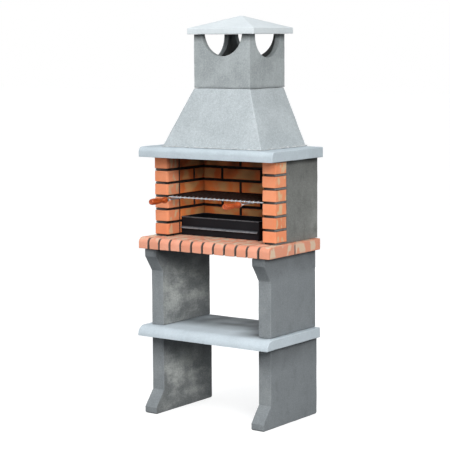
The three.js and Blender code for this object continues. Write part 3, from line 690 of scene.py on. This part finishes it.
def cast_piece(node, material, slot, radius, cell, swell, wear, seed, segments=2, lime=None, painted_shade=None):
    """A concrete piece of the node's form, with softened, rubbed and chipped edges and slightly uneven faces.
    lime gives the marks inside and the strength of the lime blooms, with painted shade where they fade, from
    a vertex and its share of the height and the depth, and the last rule the mark of painted shade from its
    place and the piece's extent."""
    mesh = of_node(node)
    soften(mesh, radius, segments)
    slice_up(mesh, cell)
    weather(mesh, swell, wear, 16.0, seed)
    mesh.normal_update()
    low, high = extent(mesh)
    if lime:
        layers = [mesh.verts.layers.float.new(name) for name in ("inside", "bloom_and_shade")]
        for vertex in mesh.verts:
            up = (vertex.co.z - low.z) / (high.z - low.z)
            deep = (vertex.co.y - low.y) / (high.y - low.y)
            for layer, value in zip(layers, lime(vertex, up, deep)):
                vertex[layer] = value
    # The painted shade mark, made patchy.
    if painted_shade:
        def patchy(vertex):
            return clamped((0.92 + 0.4 * noise.noise(vertex.co * 13)) * painted_shade(vertex.co, low, high))
        marked(mesh, "painted_shade", patchy)
    finish_piece(f"{node}_cast", mesh, material, node)


def limed_leg(inward):
    """Lime blooms on a leg's inner side, most at middle height and away from the front, a little in front.
    Where they fade, most towards the top and the back, the darker ground of the inner side is painted shade.
    """
    def rule(vertex, up, deep):
        inside = 1.0 if vertex.normal.x * inward > 0.8 else 0.19 * max(0.0, -vertex.normal.y)
        upright = clamped(min((0.95 - up) / 0.38, 0.62 + 1.1 * up))
        return inside, upright * clamped(min((1.35 - deep) / 0.7, 0.5 + 2.0 * deep), 0.96)
    return rule


def limed_casing(vertex, up, deep):
    """Lime blooms on a casing's lower back part."""
    return 0.42 * clamped((1 - up) * 1.3 - 0.2) * max(0.0, deep) ** 2, 1.0


def under_cap(at, low, high):
    """Painted shade inside the chimney, less on the jambs of its outlets, and a painted shadow band at its
    top, under the cap, and at its foot.
    """
    depth = min(at.x - low.x, high.x - at.x, at.y - low.y, high.y - at.y)
    inner = 0.97 * (depth > CHIMNEY_WALL - 3 * MM)
    jamb = 0.16 + 0.2 * depth / CHIMNEY_WALL if depth > 4 * MM else 0.0
    band = 0.95 * (1 - (high.z - at.z) / (34 * MM))
    foot = 0.5 * (1 - (at.z - low.z) / (6 * MM))
    return max(inner, jamb, band, foot)


def under_slab(at, low, high):
    """Painted shadow under the mantel: a dark band along the top, and fainter darkening lower down."""
    below = high.z - at.z
    return max(min(1.0, 1.75 - below / (14 * MM)), 0.36 * (1 - below / (150 * MM)))


def between_legs(at, low, high):
    """Painted shadow on the shelf between its legs, towards the back and along the right leg."""
    deep, aside = at.y - low.y, high.x - at.x
    back = clamped((deep - 130 * MM) / (150 * MM))
    corner = clamped(1.35 - aside / (300 * MM))
    beside = max(0.0, 1.15 - (aside - LEG_FACE) / (165 * MM)) * clamped((deep - 30 * MM) / (90 * MM))
    inside = low.x + 110 * MM < at.x < high.x - 45 * MM and at.z > high.z - 4 * MM
    return max(back * (0.76 + 0.24 * corner), min(1.0, 1.1 * beside)) * inside


def under_top(inward):
    """Painted shade under the slab that a leg carries, most of it on the inner side, towards the back."""
    def rule(at, low, high):
        deep = (at.y - low.y) / (high.y - low.y)
        below = high.z - at.z
        if abs(at.x - (high.x if inward > 0 else low.x)) < 5 * MM:
            reach, most = (85 + 200 * deep) * MM, 0.85 + 0.25 * deep
        else:
            reach, most = 125 * MM, 0.5
        return max(1.05 - below / (18 * MM), most * (1 - below / reach))
    return rule


CHIMNEY_WALL = 29 * MM
LEG_FACE = 99 * MM  # from the shelf's end to the inner side of the leg on it
for level in ("lower", "upper"):
    for side, inward in (("left", 1), ("right", -1)):
        cast_piece(f"{level}_leg_{side}", LEG, "cast_concrete_leg", 1.6 * MM, 16 * MM, 0.8 * MM, 0.7 * MM,
                   len(side + level), lime=limed_leg(inward), painted_shade=under_top(inward))
SLAB = (2.2 * MM, 16 * MM, 0.9 * MM, 0.8 * MM)
cast_piece("shelf_slab", SHELF, "smooth_concrete", *SLAB, 3.0, painted_shade=between_legs)
cast_piece("mantel_slab", MANTEL, "smooth_concrete", *SLAB, 9.0)
cast_piece("hood", HOOD, "hood_concrete", 5 * MM, 16 * MM, 1.4 * MM, 1.4 * MM, 2.0, 3)
cast_piece("chimney", CHIMNEY, "chimney_concrete", 5 * MM, 12 * MM, 1.4 * MM, 1.2 * MM, 6.0, 3,
           painted_shade=under_cap)
cast_piece("chimney_cap", CAP, "smooth_concrete", 3 * MM, 14 * MM, 1.0 * MM, 1.0 * MM, 8.0)
for node in ("left_casing", "right_casing", "back_casing"):
    cast_piece(node, CASING, "casing_concrete", 2 * MM, 14 * MM, 1.0 * MM, 0.8 * MM, len(node),
               lime=limed_casing, painted_shade=under_slab)


def bead(name, low, high, height, proud, material, slot):
    """Mortar squeezed out round the foot of a piece that stands on a bed of it."""
    mesh = bmesh.new()
    corners = [(low.x, low.y), (high.x, low.y), (high.x, high.y), (low.x, high.y)]
    ring = []
    for (x0, y0), (x1, y1) in zip(corners, corners[1:] + corners[:1]):
        count = max(2, round(math.hypot(x1 - x0, y1 - y0) / (7 * MM)))
        for step in range(count):
            ring.append(Vector((x0 + (x1 - x0) * step / count, y0 + (y1 - y0) * step / count, low.z)))
    rows = []
    for point in ring:
        out = Vector((0, 0, 0))
        for i in (0, 1):
            out[i] = (abs(point[i] - high[i]) < 1e-6) - (abs(point[i] - low[i]) < 1e-6)
        ragged = 0.75 + 0.9 * noise.noise(point * 70 + Vector(RIGHT))
        rows.append([
            mesh.verts.new(point + out * proud * push * ragged + Vector(UP) * height * rise * ragged)
            for push, rise in ((-0.9, 0.0), (0.55, 0.0), (1.0, 0.35), (0.45, 0.85), (-0.9, 1.0))
        ])
    join_rows(mesh, rows + rows[:1])
    finish_piece(name, mesh, material)


bead("hood_bedding", *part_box("hood"), 7 * MM, 4.5 * MM, BED_MORTAR, "hood_concrete")


# ---------------------------------------------------------------- grill

def around(radius, sides, across, lift):
    """Points round a circle, from the directions of its two radii."""
    angles = (2 * math.pi * k / sides for k in range(sides))
    return [(across * math.cos(a) + lift * math.sin(a)) * radius for a in angles]


def sweep(mesh, points, radius, sides=12, capped=True):
    """A round bar along a row of points, its ends domed a little."""
    points = [Vector(point) for point in points]
    rows = []
    up = Vector(UP)
    for index, point in enumerate(points):
        along = (points[min(index + 1, len(points) - 1)] - points[max(index - 1, 0)]).normalized()
        if abs(along.dot(up)) > 0.95:
            up = Vector(BACK)
        across = along.cross(up).normalized()
        up = across.cross(along).normalized()
        rows.append([mesh.verts.new(point + spoke) for spoke in around(radius, sides, across, up)])
    if capped:
        ends = (points[0], points[1]), (points[-1], points[-2])
        tips = [[mesh.verts.new(end + (end - before).normalized() * radius * 0.45)] for end, before in ends]
        rows = [tips[0], *rows, tips[1]]
    join_rows(mesh, rows)


def weld(mesh, at, radius):
    """A small lump of weld metal."""
    lump = bmesh.ops.create_icosphere(mesh, subdivisions=2, radius=radius, matrix=Matrix.Translation(at))
    for vertex in lump["verts"]:
        vertex.co.z = at[2] + (vertex.co.z - at[2]) * 0.7


def arc(centre, radius, first, step, count):
    """Points on a level arc, from an angle on by steps, in degrees."""
    angles = [math.radians(first + step * k) for k in range(count)]
    return [Vector(centre) + Vector((math.cos(a), math.sin(a), 0)) * radius for a in angles]


FRAME, WIRE_D, BRACKET, TANG = 6 * MM, 4.6 * MM, 5 * MM, 6 * MM  # diameters
SUNK = 0.8 * MM  # how far bars sink into each other at a weld
REACH = 85 * MM  # of the brackets, in front of the frame
WIRES = 21


def grill_metal():
    """The grill's frame, cross rods, wires and brackets, welded together, around the handles' places."""
    low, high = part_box("grill")
    left_low, left_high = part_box("left_handle")
    right_low, right_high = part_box("right_handle")
    offset = (right_low.x + right_high.x - left_low.x - left_high.x) / 4
    bracket_z = (left_low.z + left_high.z) / 2
    frame_z = bracket_z + (FRAME + BRACKET) / 2 - SUNK
    wire_z = frame_z + (FRAME + WIRE_D) / 2 - SUNK
    middle = (low.x + high.x) / 2
    back = high.y - FRAME / 2
    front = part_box("left_ferrule")[1].y + 0.3 * MM + BRACKET / 2 + REACH
    side = (high.x - low.x - FRAME) / 2
    mesh = bmesh.new()
    corner = 9 * MM
    loop = []
    for sx, sy, first in ((1, 1, 0), (-1, 1, 90), (-1, -1, 180), (1, -1, 270)):
        centre = (middle + sx * (side - corner), (back if sy > 0 else front) - sy * corner, frame_z)
        loop += arc(centre, corner, first, 18, 6)
    sweep(mesh, loop + loop[:2], FRAME / 2, 14, capped=False)
    crosses = [front + (back - front) * k / 3 for k in (1, 2)]
    for y in crosses:
        sag = (middle, y, frame_z - 0.3 * MM)
        sweep(mesh, [(middle - side, y, frame_z), sag, (middle + side, y, frame_z)], FRAME / 2)
    wrap = (FRAME + WIRE_D) / 2 - 0.4 * MM
    for wire in range(1, WIRES + 1):
        x = middle - side + 2 * side * wire / (WIRES + 1)
        wave = 0.35 * MM * math.sin(wire * 2.1)
        angles = [math.radians(225 - 22.5 * step) for step in range(7)]
        points = [(x, front + wrap * math.cos(a), frame_z + wrap * math.sin(a)) for a in angles]
        sag = (x + wave, (front + back) / 2, wire_z - 0.4 * MM)
        sweep(mesh, [*points, (x, front + 8 * MM, wire_z), sag, (x, back, wire_z)], WIRE_D / 2, 10)
        for y in (front, *crosses, back):
            weld(mesh, (x, y, wire_z - WIRE_D * 0.42), WIRE_D * 0.62)
    radius = 10 * MM
    bend_y = front - REACH + radius
    tail_y = crosses[0] + 4 * MM
    weld_z = frame_z - FRAME * 0.42
    for x in (middle - offset, middle + offset):
        left = [(x - radius, y, bracket_z) for y in (tail_y, front, bend_y)]
        right = [(x + radius, y, bracket_z) for y in (bend_y, front, tail_y)]
        sweep(mesh, left + arc((x, bend_y, bracket_z), radius, 195, 15, 11) + right, BRACKET / 2)
        tip_y = bend_y - radius
        sweep(mesh, [(x, tip_y + 0.8 * MM, bracket_z), (x, tip_y - 69 * MM, bracket_z)], TANG / 2)
        for bar in (x - radius, x + radius):
            weld(mesh, (bar, front, weld_z), 3.6 * MM)
            weld(mesh, (bar, crosses[0], weld_z), 3.4 * MM)
        weld(mesh, (x, tip_y - 0.4 * MM, bracket_z), 4.0 * MM)
    finish_piece("grill_wires", mesh, WIRE, "grill", body="grill", angle=60)


grill_metal()


def turned(name, profile, centre, sides, material, node, line=None):
    """A lathe form round an axis along Y, from (radius, y) pairs. line is where a dark line runs round it."""
    mesh = bmesh.new()
    rows = []
    for radius, y in profile:
        spokes = around(radius, sides, Vector(RIGHT), Vector(UP)) if radius > 1e-6 else [Vector()]
        rows.append([mesh.verts.new(centre + Vector((0, y, 0)) + spoke) for spoke in spokes])
    join_rows(mesh, rows)
    if line is not None:
        marked(mesh, "turned_line", lambda vertex: 0.8 * math.exp(-((vertex.co.y - line) / (1.1 * MM)) ** 2))
    finish_piece(name, mesh, material, node, body="grill", angle=50)


def smooth_path(points, steps):
    """A smooth row of points through the given ones."""
    path = []
    for index in range(len(points) - 1):
        a = points[max(index - 1, 0)]
        b, c = points[index], points[index + 1]
        d = points[min(index + 2, len(points) - 1)]
        for t in (step / steps for step in range(steps)):
            path.append(tuple(
                (2 * b[i] + (c[i] - a[i]) * t + (2 * a[i] - 5 * b[i] + 4 * c[i] - d[i]) * t * t
                 + (3 * b[i] - a[i] - 3 * c[i] + d[i]) * t ** 3) / 2
                for i in (0, 1)
            ))
    return path + [points[-1]]


# The handle's outline, as shares of its greatest radius and of its length from the ferrule on.
HANDLE = [
    (0.78, 0.0), (0.97, 0.05), (1.0, 0.11), (0.9, 0.18), (0.74, 0.25), (0.71, 0.29), (0.78, 0.36),
    (0.88, 0.46), (0.94, 0.545), (0.96, 0.64), (1.0, 0.77), (1.0, 0.86), (0.94, 0.93), (0.84, 0.975),
    (0.72, 0.995),
]
for side in ("left", "right"):
    low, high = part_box(f"{side}_handle")
    ring_low, ring_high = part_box(f"{side}_ferrule")
    axis = Vector(((low.x + high.x) / 2, 0, (low.z + high.z) / 2))
    tip, shoulder = low.y, ring_low.y
    length = shoulder - tip
    radius = (high.x - low.x) / 2
    profile = [(0.0, shoulder + 4 * MM), (radius * 0.52, shoulder + 4 * MM), (radius * 0.52, shoulder)]
    groove = shoulder - 0.46 * length
    for r, y in smooth_path([(radius * share, shoulder - along * length) for share, along in HANDLE], 4):
        grooves = (groove, 0.9 * MM), (groove - 4 * MM, 0.7 * MM)
        cuts = [math.exp(-((y - at) / width) ** 2) for at, width in grooves]
        profile.append((r - 0.5 * MM * sum(cuts), y))
    profile += [(radius * 0.56, tip), (radius * 0.5, tip + 0.6 * MM), (radius * 0.3, tip + 2.4 * MM)]
    profile += [(0.0, tip + 3.0 * MM)]
    turned(f"{side}_handle_turned", profile, axis, 40, WOOD, f"{side}_handle", groove)
    outer = (ring_high.x - ring_low.x) / 2
    bore, tube = 3.3 * MM, outer - 1.5 * MM
    crimp = [(outer - inward * MM, ring_high.y - down * MM) for inward, down in (
        (1.6, 0.0), (0.5, 0.5), (0.0, 1.6), (0.0, 3.2), (0.7, 4.2), (0.7, 5.2), (0.0, 6.2),
    )]
    foot = [(outer, ring_low.y + 0.5 * MM), (outer - 0.4 * MM, ring_low.y), (tube, ring_low.y)]
    lid = ring_high.y - 1.5 * MM
    profile = [(bore, lid), (bore, ring_high.y), *crimp, *foot, (tube, lid), (bore, lid)]
    turned(f"{side}_ferrule_drawn", profile, axis, 36, FERRULE, f"{side}_ferrule")


# ---------------------------------------------------------------- charcoal box and ash drawer

def highlight_near(axis, at, reach, share=1.0):
    """A rule for the painted highlight along folds: share at a plane across the axis, fading to nothing
    within reach.
    """
    return lambda vertex: share * max(0.0, 1 - abs(vertex.co[axis] - at) / reach)


low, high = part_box("charcoal_box")
mesh = of_node("charcoal_box")
soften(mesh, 0.7 * MM)
slice_up(mesh, 26 * MM)
cut(mesh, (0, 0, high.z - 1.6 * MM), UP)
# Painted highlight along the folded top edge of the box.
marked(mesh, "fold", highlight_near(2, high.z, 1.2 * MM, 0.5))
finish_piece("charcoal_box_sheet", mesh, SHEET, "charcoal_box", body="charcoal_box")

mesh = bmesh.new()
hem = 2.6 * MM
left, right, front, back = low.x + hem, high.x - hem, low.y + 1.2 * MM, high.y - hem
corners = [(left, front), (right, front), (right, back), (left, back)]
for (x0, y0), (x1, y1) in zip(corners, corners[1:] + corners[:1]):
    sweep(mesh, [
        (x0 + (x1 - x0) * k / 12, y0 + (y1 - y0) * k / 12, high.z - hem + 0.25 * MM * math.sin(k * 1.9))
        for k in range(13)
    ], hem)
# Painted highlight along the front of the hem.
marked(mesh, "fold", highlight_near(1, low.y, 4.5 * MM, 0.55))
finish_piece("charcoal_box_hem", mesh, SHEET, body="charcoal_box", angle=60)

mesh = of_node("charcoal_grate")
soften(mesh, 0.6 * MM, 1)
finish_piece("charcoal_grate_bars", mesh, IRON, "charcoal_grate", body="charcoal_box")

low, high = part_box("ash_drawer")
sheet, reach, drop, curl = 1.5 * MM, 12 * MM, 9 * MM, 1.6 * MM
lip = low.y
face = lip + reach
inner = face + sheet
edge = high.z - drop
profile = [
    (inner, low.z), (inner, high.z - 0.6 * MM), (inner - 0.6 * MM, high.z), (face - 0.4 * MM, high.z),
    (lip + curl, edge + curl), (lip + 0.3 * MM, edge + 0.4 * MM), (lip, edge - curl),
    (lip + curl, edge - 1.7 * curl), (lip + 2 * curl, edge - curl), (face, high.z - 2 * sheet), (face, low.z),
]
mesh = bmesh.new()
rows = [[mesh.verts.new((low.x + (high.x - low.x) * k / 24, y, z)) for y, z in profile] for k in range(25)]
mesh.faces.new(rows[0])
mesh.faces.new(reversed(rows[-1]))
join_rows(mesh, rows)
soften(mesh, 0.3 * MM, 1, 50)
# Painted highlight along the drawer's lip.
marked(mesh, "fold", highlight_near(1, lip, 12 * MM))
finish_piece("ash_drawer_front", mesh, SHEET, "ash_drawer", body="ash_drawer", angle=50)

left, right, bottom, top = low.x + 4 * MM, high.x - 4 * MM, low.z + sheet, low.z + 30 * MM
mesh = merge([
    block((left, inner, low.z), (right, high.y, bottom)),
    block((left, inner, bottom), (left + sheet, high.y, top)),
    block((right - sheet, inner, bottom), (right, high.y, top)),
    block((left + sheet, high.y - sheet, bottom), (right - sheet, high.y, top)),
])
soften(mesh, 0.35 * MM, 1)
# Painted highlight along the top edges of the tray.
marked(mesh, "fold", highlight_near(2, top, 1.0 * MM))
finish_piece("ash_drawer_tray", mesh, SHEET, "ash_drawer", body="ash_drawer")


# ---------------------------------------------------------------- floor, light and camera

shade = Shade("studio_floor", roughness=0.9, specular=0.1)
shade.set("Base Color", shade.mix(shade.noise(1.5, 3.0, 0.5), (0.36, 0.36, 0.36), (0.39, 0.39, 0.39)))
glow = shade.add("ShaderNodeEmission", Color=(1, 1, 1), Strength=shade.product(shade.shown(), 0.77))
both = shade.add("ShaderNodeAddShader")
for place, source in enumerate((shade.shader, glow)):
    shade.put(both.inputs[place], source.outputs[0])
shade.put(shade.tree.nodes["Material Output"].inputs["Surface"], both.outputs[0])
mesh = bmesh.new()
bmesh.ops.create_grid(mesh, x_segments=4, y_segments=4, size=40)
data = bpy.data.meshes.new("studio_floor")
mesh.to_mesh(data)
mesh.free()
data.materials.append(shade.material)
floor = bpy.data.objects.new("studio_floor", data)
bpy.context.scene.collection.objects.link(floor)
floor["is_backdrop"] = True

# The sky is brightest overhead and in front, and the backdrop that the camera sees is white.
world = bpy.data.worlds.new("studio")
bpy.context.scene.world = world
world.use_nodes = True
sky = Graph(world.node_tree)
direction = sky.add("ShaderNodeTexCoord").outputs["Generated"]
overhead = sky.ramp(sky.part(direction, 2), -0.1, 0.9, 0.35, 0.88)
in_front = sky.ramp(sky.part(direction, 1), -0.3, 0.7, 1.0, 0.4)
lighting = sky.tree.nodes["Background"]
sky.put(lighting.inputs["Color"], (0.94, 0.97, 1.0))
sky.put(lighting.inputs["Strength"], sky.product(overhead, in_front))
backdrop = sky.add("ShaderNodeBackground", Color=(1, 1, 1), Strength=1.0)
choice = sky.add("ShaderNodeMixShader")
for place, source in enumerate((sky.shown(), lighting.outputs[0], backdrop.outputs[0])):
    sky.put(choice.inputs[place], source)
sky.put(sky.tree.nodes["World Output"].inputs["Surface"], choice.outputs[0])


def softbox(name, at, size, power, colour):
    """A square lamp that faces the middle of the object and isn't seen itself."""
    data = bpy.data.lights.new(name, "AREA")
    data.shape = "SQUARE"
    data.size = size
    data.energy = power
    data.color = colour
    lamp = bpy.data.objects.new(name, data)
    bpy.context.scene.collection.objects.link(lamp)
    lamp.location = at
    lamp.visible_camera = False
    lamp.rotation_mode = "QUATERNION"
    lamp.rotation_quaternion = (Vector((0, 0, 1.0)) - Vector(at)).to_track_quat("-Z", "Y")


softbox("key", (-0.6, -3.7, 6.0), 2.4, 120, (0.96, 0.98, 1.0))
softbox("side", (4.2, -3.7, 3.3), 2.0, 235, (0.99, 0.99, 0.98))
softbox("back", (-1.8, 4.8, 0.6), 1.4, 80, (0.98, 0.99, 1.0))

# The photograph's point of view, fitted to the corners seen in it.
AZIMUTH, ELEVATION, ROLL = math.radians(35.902), math.radians(6.649), math.radians(-0.378)
CAMERA_AT = (4.5292, -6.2440, 1.8418)
level = Vector((math.sin(AZIMUTH), -math.cos(AZIMUTH), 0))
backward = level * math.cos(ELEVATION) + Vector((0, 0, math.sin(ELEVATION)))
right = Vector((math.cos(AZIMUTH), math.sin(AZIMUTH), 0))
up = backward.cross(right)
data = bpy.data.cameras.new("camera")
data.sensor_width = 36
data.lens = 127.6
data.clip_end = 200
camera = bpy.data.objects.new("camera", data)
bpy.context.scene.collection.objects.link(camera)
rolled_right = right * math.cos(ROLL) + up * math.sin(ROLL)
rolled_up = up * math.cos(ROLL) - right * math.sin(ROLL)
place = Matrix((rolled_right, rolled_up, backward)).transposed().to_4x4()
place.translation = CAMERA_AT
camera.matrix_world = place
bpy.context.scene.camera = camera
bpy.context.scene.view_settings.view_transform = "Standard"

low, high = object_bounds()
